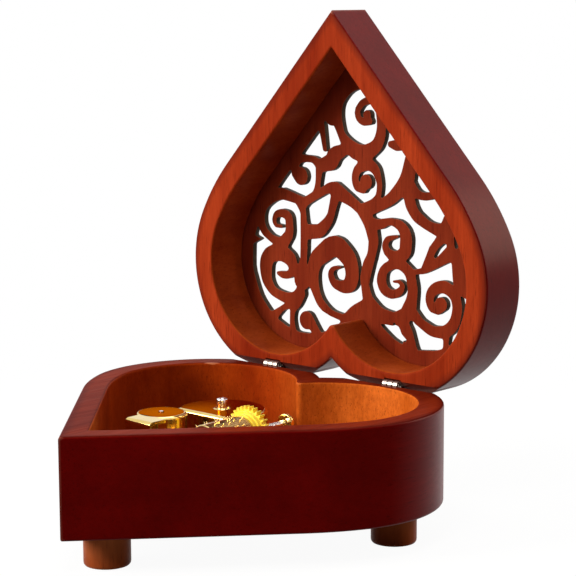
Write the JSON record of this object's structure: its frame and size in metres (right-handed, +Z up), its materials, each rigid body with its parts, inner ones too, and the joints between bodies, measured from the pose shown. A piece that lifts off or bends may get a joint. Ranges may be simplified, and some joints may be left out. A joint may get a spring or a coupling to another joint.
{
  "type": "music box",
  "caption": "Heart-shaped wooden music box on three feet with a hinged fretwork lid, open, and a key-wound movement with pinned cylinder, comb, gear train and governor fan.",
  "frame": {"origin": "on the ground under the middle of the open box's bounding box", "axes": "+Z up; +X across the heart, which is symmetric about X = 0 apart from its fretwork and movement; the heart's tip points to -Y and its two lobes, with the hinges, to +Y"},
  "size_m": [0.1138, 0.1244, 0.1456],
  "materials": {
    "stained_wood": "satin lacquer over red-brown stain",
    "plain_wood": "matt stain",
    "gold_plate": "polished gold plating",
    "steel": "polished",
    "brass": "satin",
    "yellow_nylon": "semi-gloss",
    "brown_nylon": "matt",
    "nickel": "satin"
  },
  "bodies": {
    "case": {"base_frame": "stained_wood", "base_floor": "plain_wood", "foot_tip": "stained_wood", "foot_left": "stained_wood", "foot_right": "stained_wood", "hinge_left_base_leaf": "nickel", "hinge_right_base_leaf": "nickel", "hinge_left_pin": "nickel", "hinge_right_pin": "nickel", "bedplate": "gold_plate", "spring_housing": "gold_plate", "mainspring": "steel", "transfer_stud": "steel", "cylinder_bracket_front": "gold_plate", "cylinder_bracket_back": "gold_plate", "comb_bridge": "gold_plate", "comb": "steel", "comb_screw_1": "brass", "comb_screw_2": "brass", "governor_frame": "gold_plate"},
    "lid": {"lid_frame": "stained_wood", "lid_fretwork": "stained_wood", "hinge_left_lid_leaf": "nickel", "hinge_right_lid_leaf": "nickel"},
    "winding": {"great_wheel": "brass", "winding_arbor": "steel", "winding_key": "brass"},
    "transfer": {"transfer_wheel": "brown_nylon"},
    "cylinder": {"cylinder_drum": "brass", "cylinder_gear": "yellow_nylon", "cylinder_arbor": "steel"},
    "governor_drive": {"governor_shaft": "steel"},
    "fan": {"governor_worm": "steel", "governor_fan": "steel"}
  },
  "joints": [
    {"name": "lid_hinge", "type": "hinge", "parent": "case", "child": "lid", "pos_m": [0, 0.04582, 0.03765], "axis": [1, 0, 0], "range_deg": [0, 90]},
    {"name": "winding_spin", "type": "hinge", "parent": "case", "child": "winding", "pos_m": [-0.0142, 0.01362, 0], "axis": [0, 0, 1], "continuous": true},
    {"name": "transfer_spin", "type": "hinge", "parent": "case", "child": "transfer", "pos_m": [0.0062, 0.00864, 0], "axis": [0, 0, 1], "continuous": true},
    {"name": "cylinder_spin", "type": "hinge", "parent": "case", "child": "cylinder", "pos_m": [0.0062, -0.06217, 0.0283], "axis": [0, 1, 0], "continuous": true},
    {"name": "governor_shaft_spin", "type": "hinge", "parent": "case", "child": "governor_drive", "pos_m": [-0.0142, -0.06217, 0.02032], "axis": [0, 1, 0], "continuous": true},
    {"name": "fan_spin", "type": "hinge", "parent": "case", "child": "fan", "pos_m": [-0.0194, -0.00618, 0], "axis": [0, 0, 1], "continuous": true}
  ],
  "couplings": [
    {"joint": "transfer_spin", "follows": "winding_spin", "ratio": -1.5},
    {"joint": "cylinder_spin", "follows": "winding_spin", "ratio": 1},
    {"joint": "governor_shaft_spin", "follows": "winding_spin", "ratio": -4.5},
    {"joint": "fan_spin", "follows": "winding_spin", "ratio": 63}
  ]
}
